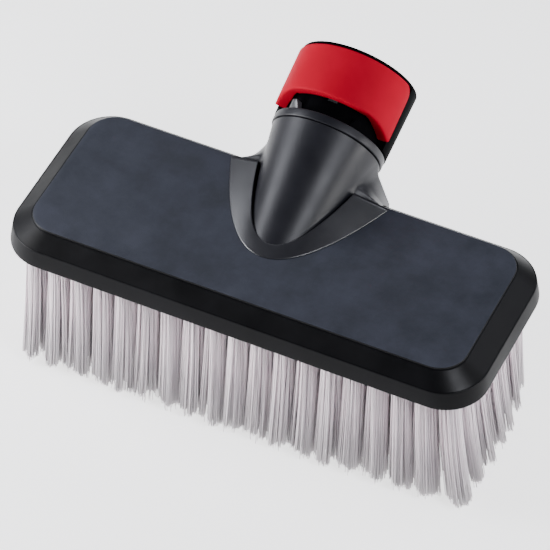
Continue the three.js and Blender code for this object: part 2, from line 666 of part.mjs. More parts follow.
function housingBody() {
  const housingStart = RING_END + GAP;
  let body = solidOf(turned([
    [0, SPIGOT_START],
    [SPIGOT_RADIUS, SPIGOT_START],
    [SPIGOT_RADIUS, housingStart],
    [HOUSING_RADIUS, housingStart],
    [HOUSING_RADIUS, HOUSING_END - 0.6],
    [HOUSING_RADIUS - 0.6, HOUSING_END],
    [0, HOUSING_END],
  ], 40));
  body = body.subtract(sectorBody(CORE_RADIUS, HOUSING_RADIUS + 2, WINDOW_HALF_ANGLE, housingStart - EPS,
    SLIDE_END + 0.4, 20));
  const socket = solidOf(turned([
    [0, SOCKET_START],
    [SOCKET_RADIUS, SOCKET_START],
    [SOCKET_RADIUS, HOUSING_END - 1.5],
    [SOCKET_LEAD_IN, HOUSING_END + GAP],
    [0, HOUSING_END + GAP],
  ], 32));
  const sealSeat = solidOf(rod(LANCE_SEAL_SEAT_RADIUS, SOCKET_START - LANCE_SEAL_SEAT_DEPTH,
    SOCKET_START + EPS, 24));
  const waterway = solidOf(rod(ELBOW_INNER_RADIUS, SPIGOT_START, SOCKET_START, 20));
  const elbowSeat = solidOf(rod(WATERWAY_RADIUS, SPIGOT_START - EPS, WATERWAY_SEAT, 20));
  body = body.subtract(socket).subtract(sealSeat).subtract(waterway).subtract(elbowSeat);
  for (const degrees of [90, -90]) {
    body = body.subtract(radialBlock(degrees, LUG_SLOT_WIDTH, SOCKET_RADIUS - 2, LUG_SLOT_RADIUS,
      LUG_SLOT_START, HOUSING_END + EPS));
  }
  for (const degrees of [SPRING_ANGLE, -SPRING_ANGLE]) {
    body = body.subtract(radialBlock(degrees, CHANNEL_WIDTH, CHANNEL_FLOOR_RADIUS, CORE_RADIUS + 1,
      CHANNEL_START, CHANNEL_END));
  }
  body = body.subtract(radialBlock(0, TONGUE_WIDTH + 2 * GAP, SOCKET_RADIUS - 2, CORE_RADIUS + 1,
    TONGUE_START - SLIDE_TRAVEL - 0.5, TONGUE_END + 0.5));
  for (const degrees of [GUIDE_RIB_ANGLE, -GUIDE_RIB_ANGLE]) {
    body = body.add(guideRib(degrees));
  }
  for (const degrees of Object.values(PIN_ANGLES)) {
    body = body.subtract(pinCylinder(degrees, PIN_RADIUS + GAP, SPIGOT_RADIUS - 5, SEAM_RADIUS + 2));
  }
  return body;
}

addPart(coupling, 'coupling_housing', housingBody(), COUPLING_PLASTIC);

for (const [side, degrees] of Object.entries(PIN_ANGLES)) {
  const inner = SPIGOT_RADIUS - 4.6;
  const outer = SEAM_RADIUS + NECK_TAPER * PIN_ALONG - 0.6;
  addPart(coupling, `coupling_pin_${side}`, pinCylinder(degrees, PIN_RADIUS, inner, outer), STEEL);
}

// Release slide: a curved plate over the top of the housing, with a rib for each spring. It is
// skinned from one side to the other. Its far corners are round, and a thick tab at each near
// corner reaches towards the retaining ring.
function slideBody() {
  const cornerDegrees = THREE.MathUtils.radToDeg(SLIDE_CORNER / SLIDE_OUTER_RADIUS);
  const flatHalf = SLIDE_HALF_ANGLE - cornerDegrees;
  const cornerSteps = 5;
  const flatSteps = 18;
  const places = [];
  for (let step = 0; step < cornerSteps; step += 1) {
    places.push(-SLIDE_HALF_ANGLE + cornerDegrees * (1 - Math.cos((Math.PI / 2) * (step / cornerSteps))));
  }
  for (let step = 0; step <= flatSteps; step += 1) {
    places.push(-flatHalf + (2 * flatHalf * step) / flatSteps);
  }
  for (let step = cornerSteps - 1; step >= 0; step -= 1) places.push(-places[step]);
  const rings = places.map((degrees) => {
    const into = Math.max(0, 1 - (SLIDE_HALF_ANGLE - Math.abs(degrees)) / cornerDegrees);
    const end = SLIDE_END - SLIDE_CORNER * (1 - Math.sqrt(Math.max(0, 1 - into * into)));
    const tab = Math.max(0, Math.abs(degrees) - SLIDE_TAB_ANGLE) / (SLIDE_HALF_ANGLE - SLIDE_TAB_ANGLE);
    const start = SLIDE_START - SLIDE_TAB_LENGTH * tab ** 1.6;
    const wall = THREE.MathUtils.lerp(SLIDE_WALL, SLIDE_TAB_WALL, Math.min(1, 2 * tab));
    const inner = SLIDE_OUTER_RADIUS - wall;
    return [
      aroundNeck(start, degrees, inner),
      aroundNeck(start, degrees, SLIDE_OUTER_RADIUS),
      aroundNeck(end, degrees, SLIDE_OUTER_RADIUS),
      aroundNeck(end, degrees, inner),
    ];
  });
  let body = solidOf(loftGeometry(rings.reverse()));
  for (const degrees of [SPRING_ANGLE, -SPRING_ANGLE]) {
    body = body.add(radialBlock(degrees, CHANNEL_WIDTH - 2 * GAP, CHANNEL_FLOOR_RADIUS + GAP,
      SLIDE_OUTER_RADIUS - SLIDE_WALL + 0.5,
      SPRING_END + GAP, SPRING_END + GAP + SLIDE_RIB_THICKNESS));
  }
  return body;
}

addPart(coupling, 'release_slide', slideBody(), RED_PLASTIC);

addPart(coupling, 'locking_tongue', radialBlock(0, TONGUE_WIDTH, TONGUE_INNER_RADIUS,
  SLIDE_OUTER_RADIUS - SLIDE_WALL - GAP, TONGUE_START, TONGUE_END), STEEL);

// Compression spring lying in its channel, along the coupling's axis.
class SpringCurve extends THREE.Curve {
  getPoint(share, target = new THREE.Vector3()) {
    const angle = 2 * Math.PI * SPRING_TURNS * share;
    return target.set(
      SPRING_RADIUS * Math.cos(angle),
      SPRING_RADIUS * Math.sin(angle),
      THREE.MathUtils.lerp(SPRING_START, SPRING_END, share),
    );
  }
}

function springBody() {
  const wire = new THREE.Shape();
  wire.absarc(0, 0, SPRING_WIRE_RADIUS, 0, 2 * Math.PI, false);
  return solidOf(new THREE.ExtrudeGeometry(wire, {
    steps: 8 * SPRING_TURNS, curveSegments: 2, extrudePath: new SpringCurve(), bevelEnabled: false,
  }));
}

for (const [side, degrees] of [['left', -SPRING_ANGLE], ['right', SPRING_ANGLE]]) {
  const spring = addPart(coupling, `release_spring_${side}`, springBody(), STEEL);
  spring.position.copy(aroundNeck(0, degrees, SPRING_CENTRE_RADIUS));
}

// Lance seals: two rubber rings with a spacer between them at the bottom of the socket.
const lanceSealPlaces = { inner: SOCKET_START - 3.3, outer: SOCKET_START - 0.6 };
for (const [name, along] of Object.entries(lanceSealPlaces)) {
  const seal = addPart(coupling, `lance_seal_${name}`, sealRing(LANCE_SEAL), RUBBER);
  seal.position.set(0, 0, along);
}
const spacerStart = (lanceSealPlaces.inner + lanceSealPlaces.outer - SPACER_THICKNESS) / 2;
addPart(coupling, 'seal_spacer', solidOf(turned([
  [SPACER_INNER_RADIUS, spacerStart],
  [SPACER_OUTER_RADIUS, spacerStart],
  [SPACER_OUTER_RADIUS, spacerStart + SPACER_THICKNESS],
  [SPACER_INNER_RADIUS, spacerStart + SPACER_THICKNESS],
], 24)), TUBE_PLASTIC);

export default head;
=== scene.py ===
"""Looks of the flow-through wash brush head: every visible piece rebuilt finely around the CAD frame.

Shapes are worked out in millimetres and turned into metres when a mesh is made.
"""
import json
import math

import bmesh
import bpy
import numpy as np
from mathutils import Matrix, Vector


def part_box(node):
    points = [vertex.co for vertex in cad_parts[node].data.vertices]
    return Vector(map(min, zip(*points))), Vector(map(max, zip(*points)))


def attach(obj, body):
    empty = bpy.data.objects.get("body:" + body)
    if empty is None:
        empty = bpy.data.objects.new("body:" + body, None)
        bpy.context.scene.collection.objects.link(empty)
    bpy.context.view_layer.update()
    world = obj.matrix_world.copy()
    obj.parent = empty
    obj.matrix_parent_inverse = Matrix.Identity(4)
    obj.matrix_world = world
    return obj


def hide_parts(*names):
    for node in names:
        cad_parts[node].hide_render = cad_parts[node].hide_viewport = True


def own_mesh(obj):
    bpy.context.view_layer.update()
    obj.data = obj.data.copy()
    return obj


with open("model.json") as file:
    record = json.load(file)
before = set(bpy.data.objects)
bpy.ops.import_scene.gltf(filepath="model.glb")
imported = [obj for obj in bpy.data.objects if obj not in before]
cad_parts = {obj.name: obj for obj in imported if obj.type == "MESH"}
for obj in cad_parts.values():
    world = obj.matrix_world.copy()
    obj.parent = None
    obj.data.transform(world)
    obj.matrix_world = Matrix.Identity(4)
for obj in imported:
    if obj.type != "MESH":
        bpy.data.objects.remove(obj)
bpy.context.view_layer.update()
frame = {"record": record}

MM = 0.001


# ---------------------------------------------------------------- driving dimensions, millimetres

def node_box(node):
    """Lowest and highest corner of a CAD node, in millimetres."""
    low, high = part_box(node)
    return np.array(low) / MM, np.array(high) / MM


cover_low, cover_high = node_box("top_cover")
block_low = node_box("bristle_block")[0]

RIM_BOTTOM_Z = cover_low[2]
RIM_LENGTH, RIM_WIDTH = (cover_high - cover_low)[:2]
RIM_CORNER = 18.0
RIM_TOP_Z = RIM_BOTTOM_Z + 8.3
RIM_TOP_OUTLINE = (200.1, 80.4, 18.0)        # length, width, corner radius
BEVEL_FOOT_OUTLINE = (199.0, 79.4, 17.4)
COVER_INSIDE_DEPTH = 7.0
TOP_FACE_Z = RIM_BOTTOM_Z + 14.9
TOP_FACE_LENGTH = 183.2
TOP_FACE_WIDTH = 67.8
TOP_FACE_CORNER = 11.4
COVER_WALL = 2.6

NECK_ANGLE = math.radians(20.98)
NECK_AXIS = np.array([0.0, math.cos(NECK_ANGLE), math.sin(NECK_ANGLE)])
NECK_TOP = np.array([0.0, -math.sin(NECK_ANGLE), math.cos(NECK_ANGLE)])
SIDEWAYS = np.array([1.0, 0.0, 0.0])
SEAM_CENTRE = np.array([0.0, 48.0, RIM_BOTTOM_Z + 21.3])
SEAM_RADIUS = 22.9
NECK_TAPER = 0.165

COLLAR_APEX_Y = -10.6
COLLAR_CURVE = 0.0375
COLLAR_CREST_CORNER = (19.3, 29.6)
COLLAR_FOOT_CORNER = (32.8, 33.2)
COLLAR_CREST_HEIGHT = 6.9
COLLAR_STEP = 0.35
COLLAR_GROOVE = 1.5
COLLAR_SUNK = 0.4

RING_RADIUS = 23.5
RING_HOLE_RADIUS = 17.4
RING_START = 0.3
RING_END = 3.8
HOUSING_RADIUS = 23.8
HOUSING_START = RING_END + 0.3
HOUSING_END = 33.6
FLANGE_RADIUS = 24.5
SPIGOT_RADIUS = 17.0
SOCKET_RADIUS = 13.5
SOCKET_CHAMFER = 1.3
SOCKET_FLOOR = 3
SEAL_SEAT_RADIUS = 8.5
WATER_RADIUS = 2.8
WINDOW_FLOOR_RADIUS = 20.0
WINDOW_START = 3.0
WINDOW_HALF_ANGLE = 78.0
CHANNEL_FLOOR_RADIUS = 17.5
CHANNEL_WIDTH = 4.6
SLIDE_OUTER_RADIUS = 25.3
SLIDE_WALL = 3.0
SLIDE_HALF_ANGLE = 75.5
SLIDE_START = 11.3
SLIDE_END = 32.2
SLIDE_CORNER = 4.5
SLIDE_EDGE = 1.3
SLIDE_TAB_ANGLE = 40
SLIDE_TAB_LENGTH = 4.0
SLIDE_TAB_WALL = 4.8
SLIDE_LIP_WALL = 3.8
SLIDE_LIP_LENGTH = 1.7
SPRING_ANGLE = 32
SPRING_CENTRE_RADIUS = 19.6
SPRING_RADIUS = 1.5
SPRING_WIRE = 0.28
SPRING_TURNS = 6
SPRING_START = 13.4
SPRING_END = 26.2
GUIDE_RIB_ANGLE = 37
GUIDE_RIB_TIP = 8.0
GUIDE_RIB_FOOT_WIDTH = 5.6
GUIDE_RIB_TIP_WIDTH = 2.4

TUFT_PITCH_X = 9.8
TUFT_PITCH_Y = 10.0
TUFTS_PER_ROW = 19
ROW_COUNT = 7


# ---------------------------------------------------------------- camera, floor and light

CAMERA_TURN = math.radians(25.41)
CAMERA_DROP = math.radians(47.65)
CAMERA_DISTANCE = 1.5562
CAMERA_LENS = 261.8
CAMERA_SHIFT = (0.000673, -0.00394)          # metres to the right and up, from the rim's lower plane
LIGHT_AIM = (0, 0.01, 0.07)
COOL = (0.91, 0.93, 1.0)
WHITE = (1, 1, 1)
LIGHTS = {
    # direction from the head, distance, size, watts, colour
    "left_bank": ((-0.86, -0.08, 0.48), 0.8, (0.5, 0.28), 3.0, COOL),
    "left_top": ((-0.82, -0.10, 0.56), 0.42, (0.16, 0.16), 0.6, COOL),
    "back_sheen": ((-0.42, 0.66, 0.62), 0.9, (0.6, 0.3), 1.0, COOL),
    "front_low": ((-0.90, -0.55, 0.10), 0.6, (0.25, 0.12), 5.5, WHITE),
    "right_strip": ((0.72, -0.27, 0.66), 1.0, (0.34, 0.34), 6.5, COOL),
    "right_low": ((0.88, 0.12, 0.12), 0.7, (0.35, 0.16), 2.5, WHITE),
    "right_back": ((0.56, 0.61, 0.54), 1.0, (0.45, 0.35), 2.2, COOL),
}
FLOOR_Z = -0.0030                            # metres, just under the longest bristle tips
FLOOR_REACH = 4.0


def view_axes():
    """Right, up and forward directions of the camera."""
    right = Vector((math.cos(CAMERA_TURN), math.sin(CAMERA_TURN), 0))
    forward = Vector((
        -math.sin(CAMERA_TURN) * math.cos(CAMERA_DROP),
        math.cos(CAMERA_TURN) * math.cos(CAMERA_DROP),
        -math.sin(CAMERA_DROP),
    ))
    return right, right.cross(forward), forward


def make_camera():
    right, up, forward = view_axes()
    data = bpy.data.cameras.new("camera")
    data.lens = CAMERA_LENS
    data.sensor_width = 36
    camera = bpy.data.objects.new("camera", data)
    target = Vector((0, 0, RIM_BOTTOM_Z * MM)) + right * CAMERA_SHIFT[0] + up * CAMERA_SHIFT[1]
    place = target - forward * CAMERA_DISTANCE
    turn = Matrix((right, up, -forward)).transposed().to_4x4()
    camera.matrix_world = Matrix.Translation(place) @ turn
    bpy.context.collection.objects.link(camera)
    bpy.context.scene.camera = camera


def area_light(name, direction, distance, size, energy, colour):
    """A soft rectangular light that looks at the head from a direction."""
    data = bpy.data.lights.new(name, "AREA")
    data.shape = "RECTANGLE"
    data.size, data.size_y = size
    data.energy = energy
    data.color = colour
    lamp = bpy.data.objects.new(name, data)
    aim = Vector(LIGHT_AIM)
    lamp.location = aim + Vector(direction).normalized() * distance
    lamp.rotation_euler = (aim - lamp.location).to_track_quat("-Z", "Y").to_euler()
    bpy.context.collection.objects.link(lamp)


def make_stage():
    """White floor that glows as painted light, brightest in a pool under the head, and a plain grey surround.
    """
    material, shader = new_material("glowing_floor")
    shader.inputs["Base Color"].default_value = (0.9, 0.9, 0.9, 1)
    shader.inputs["Roughness"].default_value = 0.9
    shader.inputs["Emission Color"].default_value = (1, 1, 1, 1)
    recipe = Recipe.over(material)
    # painted light: the floor's emission is a pool of glow under the head that lights it from below
    pool = recipe.tree.nodes.new("ShaderNodeTexGradient")
    pool.gradient_type = "SPHERICAL"
    recipe.tree.links.new(recipe.mapped((1.25, 1.25, 1.25)), pool.inputs["Vector"])
    recipe.drive("Emission Strength", recipe.ramp(pool.outputs["Fac"], 0.1, 0.72, 0.25, 1.7))
    corners = [(x * FLOOR_REACH, y * FLOOR_REACH, 0) for x, y in ((-1, -1), (1, -1), (1, 1), (-1, 1))]
    floor = mesh_object("floor", corners, [(0, 1, 2, 3)], material, scale=1.0, smooth=False)
    floor.location.z = FLOOR_Z
    world = bpy.data.worlds.new("surround")
    world.use_nodes = True
    background = world.node_tree.nodes["Background"]
    background.inputs["Color"].default_value = (0.5, 0.52, 0.56, 1)
    background.inputs["Strength"].default_value = 0.12
    bpy.context.scene.world = world


# ---------------------------------------------------------------- mesh helpers

def mesh_object(name, points, faces, material, scale=MM, smooth=True):
    """A new mesh piece from points and faces."""
    mesh = bpy.data.meshes.new(name)
    mesh.from_pydata([tuple(scale * float(v) for v in point) for point in points], [], faces)
    mesh.materials.append(material)
    if smooth:
        mesh.shade_smooth()
    thing = bpy.data.objects.new(name, mesh)
    bpy.context.collection.objects.link(thing)
    return thing


def grid_faces(rows, columns, wrap_rows=False):
    """Quads over a grid of points that is stored row by row, each row a closed ring."""
    faces = []
    for row in range(rows if wrap_rows else rows - 1):
        below = row * columns
        above = ((row + 1) % rows) * columns
        for column in range(columns):
            after = (column + 1) % columns
            faces.append((below + column, below + after, above + after, above + column))
    return faces


def lofted(name, rings, material):
    """A closed skin over rings of the same length, with a flat face at each end."""
    rings = [np.asarray(ring, float) for ring in rings]
    count = len(rings[0])
    last = (len(rings) - 1) * count
    faces = grid_faces(len(rings), count)
    faces.append(tuple(range(count - 1, -1, -1)))
    faces.append(tuple(range(last, last + count)))
    return mesh_object(name, np.concatenate(rings), faces, material)


def outward(thing):
    """Turns every face of a closed piece to point out."""
    work = bmesh.new()
    work.from_mesh(thing.data)
    bmesh.ops.recalc_face_normals(work, faces=work.faces)
    work.to_mesh(thing.data)
    work.free()
    return thing


def apply_modifiers(thing):
    """Puts the result of a piece's modifiers into its mesh."""
    depsgraph = bpy.context.evaluated_depsgraph_get()
    made = bpy.data.meshes.new_from_object(thing.evaluated_get(depsgraph))
    thing.modifiers.clear()
    old = thing.data
    thing.data = made
    bpy.data.meshes.remove(old)


def carve(thing, cutters, operation="DIFFERENCE"):
    """Cuts or joins other closed bodies, which are used up."""
    for cutter in cutters:
        change = thing.modifiers.new("carve", "BOOLEAN")
        change.operation = operation
        change.solver = "EXACT"
        change.object = cutter
        apply_modifiers(thing)
        mesh = cutter.data
        bpy.data.objects.remove(cutter)
        bpy.data.meshes.remove(mesh)


def soften(thing, width):
    """Rounds the sharp edges of a cut body and keeps its flat faces flat."""
    bevel = thing.modifiers.new("edges", "BEVEL")
    bevel.width = width * MM
    bevel.segments = 2
    bevel.limit_method = "ANGLE"
    bevel.angle_limit = math.radians(32)
    bevel.harden_normals = False
    bevel.use_clamp_overlap = True
    apply_modifiers(thing)


def smooth_by_angle(thing, degrees):
    """Smooth shading, with the edges that are sharper than an angle left sharp."""
    mesh = thing.data
    mesh.shade_smooth()
    mesh.set_sharp_from_angle(angle=math.radians(degrees))
    return thing


def rounded_path(points, sizes, steps=5):
    """The path through points, with each inner corner replaced by a curve of the given size."""
    points = [np.asarray(point, float) for point in points]
    path = [points[0]]
    for before, corner, after, size in zip(points, points[1:], points[2:], sizes):
        if size == 0:
            path.append(corner)
            continue
        back = before - corner
        ahead = after - corner
        start = corner + back * min(0.49, size / np.linalg.norm(back))
        end = corner + ahead * min(0.49, size / np.linalg.norm(ahead))
        for share in np.linspace(0, 1, steps + 1):
            path.append((1 - share) ** 2 * start + 2 * share * (1 - share) * corner + share ** 2 * end)
    path.append(points[-1])
    return path


def rounded_rectangle(length, width, radius, z, arc_steps=14, side_steps=10):
    """Points round a rectangle with round corners, anticlockwise from above."""
    ring = []
    for side_x, side_y, start in ((1, 1, 0), (-1, 1, 90), (-1, -1, 180), (1, -1, 270)):
        centre = np.array([side_x * (length / 2 - radius), side_y * (width / 2 - radius)])
        for step in range(arc_steps + 1):
            angle = math.radians(start + 90 * step / arc_steps)
            ring.append([*(centre + radius * np.array([math.cos(angle), math.sin(angle)])), z])
    full = []
    for place, point in enumerate(ring):
        full.append(point)
        if (place + 1) % (arc_steps + 1) == 0:
            after = ring[(place + 1) % len(ring)]
            for step in range(1, side_steps):
                share = step / side_steps
                full.append([(1 - share) * a + share * b for a, b in zip(point, after)])
    return full


def away_from_neck(degrees):
    """Direction at right angles to the neck's axis, at an angle from its top."""
    angle = math.radians(degrees)
    return math.cos(angle) * NECK_TOP + math.sin(angle) * SIDEWAYS


def around_neck(along, degrees, radius):
    """Point at a place along the neck's axis, an angle from its top and a distance from it."""
    return SEAM_CENTRE + along * NECK_AXIS + radius * away_from_neck(degrees)


def turned(name, profile, material, sides=160):
    """A body turned about the neck's axis from a closed outline of (radius, along) points."""
    angles = np.arange(sides) * 360 / sides
    rings = [[around_neck(along, degrees, radius) for radius, along in profile] for degrees in angles]
    faces = grid_faces(sides, len(profile), wrap_rows=True)
    thing = mesh_object(name, np.concatenate(rings), faces, material)
    work = bmesh.new()
    work.from_mesh(thing.data)
    bmesh.ops.remove_doubles(work, verts=work.verts, dist=1e-7)
    bmesh.ops.dissolve_degenerate(work, edges=work.edges, dist=1e-7)
    work.to_mesh(thing.data)
    work.free()
    return outward(thing)


def neck_block(degrees, width, inner, outer, start, end, material):
    """A block that stands on the neck's axis at an angle from its top."""
    out = away_from_neck(degrees)
    across = np.cross(NECK_AXIS, out)
    rings = []
    for along in (start, end):
        corners = []
        for radius, side in ((inner, -1), (outer, -1), (outer, 1), (inner, 1)):
            corners.append(SEAM_CENTRE + along * NECK_AXIS + radius * out + side * width / 2 * across)
        rings.append(corners)
    return outward(lofted("block", rings, material))


# ---------------------------------------------------------------- materials

def new_material(name):
    material = bpy.data.materials.new(name)
    material.use_nodes = True
    return material, material.node_tree.nodes["Principled BSDF"]


class Recipe:
    """Adds texture nodes to a material, all in the object's own coordinates in metres."""

    def __init__(self, name, colour, roughness, **sockets):
        self.material, self.shader = new_material(name)
        self.tree = self.material.node_tree
        self.shader.inputs["Base Color"].default_value = (*colour, 1)
        self.shader.inputs["Roughness"].default_value = roughness
        for socket, value in sockets.items():
            self.shader.inputs[socket.replace("_", " ")].default_value = value
        self.place = self.tree.nodes.new("ShaderNodeTexCoord").outputs["Object"]
        self.height = None

    @classmethod
    def over(cls, material):
        """A recipe for a material that is already made."""
        recipe = cls.__new__(cls)
        recipe.material, recipe.tree, recipe.height = material, material.node_tree, None
        recipe.shader = recipe.tree.nodes["Principled BSDF"]
        recipe.place = recipe.tree.nodes.new("ShaderNodeTexCoord").outputs["Object"]
        return recipe

    def noise(self, scale, detail=3.0, stretch=None, roughness=0.5):
        texture = self.tree.nodes.new("ShaderNodeTexNoise")
        texture.inputs["Scale"].default_value = scale
        texture.inputs["Detail"].default_value = detail
        texture.inputs["Roughness"].default_value = roughness
        self.tree.links.new(self.mapped(stretch), texture.inputs["Vector"])
        return texture.outputs["Fac"]

    def mapped(self, stretch):
        if stretch is None:
            return self.place
        mapping = self.tree.nodes.new("ShaderNodeMapping")
        mapping.inputs["Scale"].default_value = stretch
        self.tree.links.new(self.place, mapping.inputs["Vector"])
        return mapping.outputs["Vector"]

    def ramp(self, value, low, high, first, second):
        """Maps value from low..high to first..second, numbers or colours."""
        if isinstance(first, (int, float)):
            node = self.tree.nodes.new("ShaderNodeMapRange")
            limits = {"From Min": low, "From Max": high, "To Min": first, "To Max": second}
            for socket, number in limits.items():
                node.inputs[socket].default_value = number
            self.tree.links.new(value, node.inputs["Value"])
            return node.outputs["Result"]
        node = self.tree.nodes.new("ShaderNodeValToRGB")
        node.color_ramp.elements[0].position = low
        node.color_ramp.elements[1].position = high
        node.color_ramp.elements[0].color = (*first, 1)
        node.color_ramp.elements[1].color = (*second, 1)
        self.tree.links.new(value, node.inputs["Fac"])
        return node.outputs["Color"]

    def drive(self, socket, value):
        self.tree.links.new(value, self.shader.inputs[socket])

    def bump(self, value, strength, distance):
        node = self.tree.nodes.new("ShaderNodeBump")
        node.inputs["Strength"].default_value = strength
        node.inputs["Distance"].default_value = distance
        self.tree.links.new(value, node.inputs["Height"])
        if self.height is not None:
            self.tree.links.new(self.height, node.inputs["Normal"])
        self.height = node.outputs["Normal"]
        self.tree.links.new(self.height, self.shader.inputs["Normal"])


MOTTLE = 45.0


def moulded(name, dark, light, roughness, grain, grain_depth, shine, ior):
    """Moulded plastic or rubber: a fine grain, cloudy patches of colour and gloss, and slight waves."""
    recipe = Recipe(name, light, roughness, Specular_IOR_Level=shine, IOR=ior)
    patches = recipe.noise(MOTTLE, 4, roughness=0.6)
    recipe.drive("Base Color", recipe.ramp(patches, 0.32, 0.68, dark, light))
    recipe.drive("Roughness", recipe.ramp(patches, 0.3, 0.7, roughness - 0.06, roughness + 0.06))
    recipe.bump(recipe.noise(grain, 4, roughness=0.6), 0.55, grain_depth)
    recipe.bump(recipe.noise(MOTTLE * 0.6, 2), 0.25, 0.0004)
    return recipe.material


def grained_cover():
    """Top face: matte blue-grey with a coarse moulded grain and cloudy, unevenly worn patches."""
    recipe = Recipe("cover_grained", (0.02, 0.024, 0.036), 0.52)
    clouds = recipe.noise(60, 6, roughness=0.7)
    recipe.drive("Base Color", recipe.ramp(clouds, 0.36, 0.64, (0.015, 0.018, 0.028), (0.029, 0.033, 0.049)))
    recipe.drive("Roughness", recipe.ramp(recipe.noise(60, 4), 0.3, 0.7, 0.46, 0.62))
    recipe.bump(recipe.noise(2400, 3), 0.5, 0.0001)
    recipe.bump(recipe.noise(260, 3, roughness=0.6), 0.35, 0.00022)
    return recipe.material


MOULDED = {
    # key: name, dark and light colour, roughness, grain scale, grain depth in metres, specular level, IOR
    "cover_bevel": (
        "cover_bevel", (0.002, 0.002, 0.0025), (0.003, 0.003, 0.004), 0.4, 3200, 0.00002, 0.3, 1.33),
    "cover_rim": (
        "cover_rim", (0.003, 0.003, 0.0035), (0.005, 0.005, 0.006), 0.42, 2800, 0.00003, 0.17, 1.25),
    "collar": ("collar_plastic", (0.008, 0.008, 0.011), (0.012, 0.012, 0.016), 0.34, 3200, 0.00003, 0.9, 1.5),
    "neck": ("neck_plastic", (0.008, 0.008, 0.011), (0.012, 0.012, 0.016), 0.38, 3200, 0.00004, 0.4, 1.42),
    "socket": ("socket_plastic", (0.014, 0.014, 0.016), (0.022, 0.022, 0.025), 0.42, 2600, 0.00005, 0.5, 1.5),
    "coupling": (
        "coupling_plastic", (0.0015, 0.0015, 0.002), (0.0025, 0.0025, 0.003), 0.5, 3000, 0.00004, 0.03, 1.15),
    # painted highlight: this lighter grey stands in for light caught by the left rib, a glossy black wedge
    # like the housing
    "guide": ("guide_painted_highlight", (0.03, 0.03, 0.033), (0.05, 0.05, 0.055), 0.3, 3000, 0.00003, 1.0, 1.5),
    "release": (
        "release_plastic", (0.38, 0.0008, 0.016), (0.44, 0.0012, 0.020), 0.6, 2600, 0.00003, 0.04, 1.5),
    "block": ("block_plastic", (0.50, 0.48, 0.49), (0.60, 0.58, 0.59), 0.55, 2400, 0.00008, 0.5, 1.5),
    "seal": ("seal_rubber", (0.004, 0.004, 0.004), (0.007, 0.007, 0.007), 0.7, 1800, 0.00005, 0.5, 1.5),
    "tube": ("tube_plastic", (0.12, 0.12, 0.13), (0.18, 0.18, 0.20), 0.45, 2200, 0.00004, 0.5, 1.5),
}


def make_materials():
    """All materials, by the record's material slot or by the part of a piece that they are on."""
    made = {"cover": grained_cover()}
    for key, finish in MOULDED.items():
        made[key] = moulded(*finish)
    made["steel"] = metal("zinc_steel", (0.55, 0.55, 0.57), (0.70, 0.70, 0.71), 0.32)
    made["brass"] = metal("turned_brass", (0.55, 0.38, 0.16), (0.70, 0.52, 0.24), 0.3)
    made["bristle"] = filament_material()
    return made


def metal(name, dark, light, roughness):
    """Bright metal with slight stains and fine tool marks."""
    recipe = Recipe(name, light, roughness, Metallic=1.0)
    recipe.drive("Base Color", recipe.ramp(recipe.noise(400, 3), 0.3, 0.7, dark, light))
    recipe.bump(recipe.noise(3000, 2, stretch=(1, 1, 6)), 0.3, 0.00004)
    return recipe.material


def filament_material():
    """Nylon filament: pale, slightly pink, with lighter and darker strands, and painted shade that darkens it
    towards the tips.
    """
    recipe = Recipe("nylon_filament", (0.74, 0.69, 0.72), 0.42)
    strands = recipe.ramp(recipe.noise(700, 2, stretch=(1, 1, 0.02)), 0.3, 0.7, (0.9, 0.9, 0.9), (1, 1, 1))
    split = recipe.tree.nodes.new("ShaderNodeSeparateXYZ")
    recipe.tree.links.new(recipe.place, split.inputs["Vector"])
    height = recipe.ramp(split.outputs["Z"], 0, RIM_BOTTOM_Z * MM, 0.0, 1.0)
    # painted shade: the colour darkens from the root towards the tips, standing in for shade between the
    # spread filaments; the pink is the nylon's own
    tip_shade_tint = recipe.ramp(height, 0.02, 0.55, (0.44, 0.397, 0.421), (0.97, 0.825, 0.89))
    mix = recipe.tree.nodes.new("ShaderNodeMix")
    mix.data_type = "RGBA"
    mix.blend_type = "MULTIPLY"
    mix.inputs["Factor"].default_value = 1
    recipe.tree.links.new(tip_shade_tint, mix.inputs["A"])
    recipe.tree.links.new(strands, mix.inputs["B"])
    recipe.drive("Base Color", mix.outputs["Result"])
    recipe.bump(recipe.noise(5000, 1, stretch=(1, 1, 0.1)), 0.2, 0.00003)
    recipe.shader.inputs["Subsurface Weight"].default_value = 0.5
    recipe.shader.inputs["Subsurface Radius"].default_value = (1.0, 0.85, 0.9)
    recipe.shader.inputs["Subsurface Scale"].default_value = 0.003
    return recipe.material


# ---------------------------------------------------------------- cover

def cover_levels():
    """Length, width, corner radius and height of the outlines that make up the cover's skin."""
    inner_bottom = (RIM_LENGTH - 2 * COVER_WALL, RIM_WIDTH - 2 * COVER_WALL, RIM_CORNER - COVER_WALL)
    bevel_head = (TOP_FACE_LENGTH + 1.3, TOP_FACE_WIDTH + 1.3, TOP_FACE_CORNER + 0.6)
    keys = [
        (RIM_LENGTH - 7.0, RIM_WIDTH - 7.0, RIM_CORNER - 3.5, RIM_BOTTOM_Z + COVER_INSIDE_DEPTH),
        (*inner_bottom, RIM_BOTTOM_Z),
        (RIM_LENGTH, RIM_WIDTH, RIM_CORNER, RIM_BOTTOM_Z),
        (*RIM_TOP_OUTLINE, RIM_TOP_Z),
        (*BEVEL_FOOT_OUTLINE, RIM_TOP_Z + 0.1),
        (*bevel_head, TOP_FACE_Z - 0.9),
        (TOP_FACE_LENGTH + 0.1, TOP_FACE_WIDTH + 0.1, TOP_FACE_CORNER, TOP_FACE_Z - 0.75),
        (TOP_FACE_LENGTH, TOP_FACE_WIDTH, TOP_FACE_CORNER, TOP_FACE_Z),
        (TOP_FACE_LENGTH - 4, TOP_FACE_WIDTH - 4, TOP_FACE_CORNER - 2, TOP_FACE_Z),
    ]
    return rounded_path(keys, (0.5, 0.9, 0.7, 0.3, 0.5, 0.15, 0.5), steps=4)


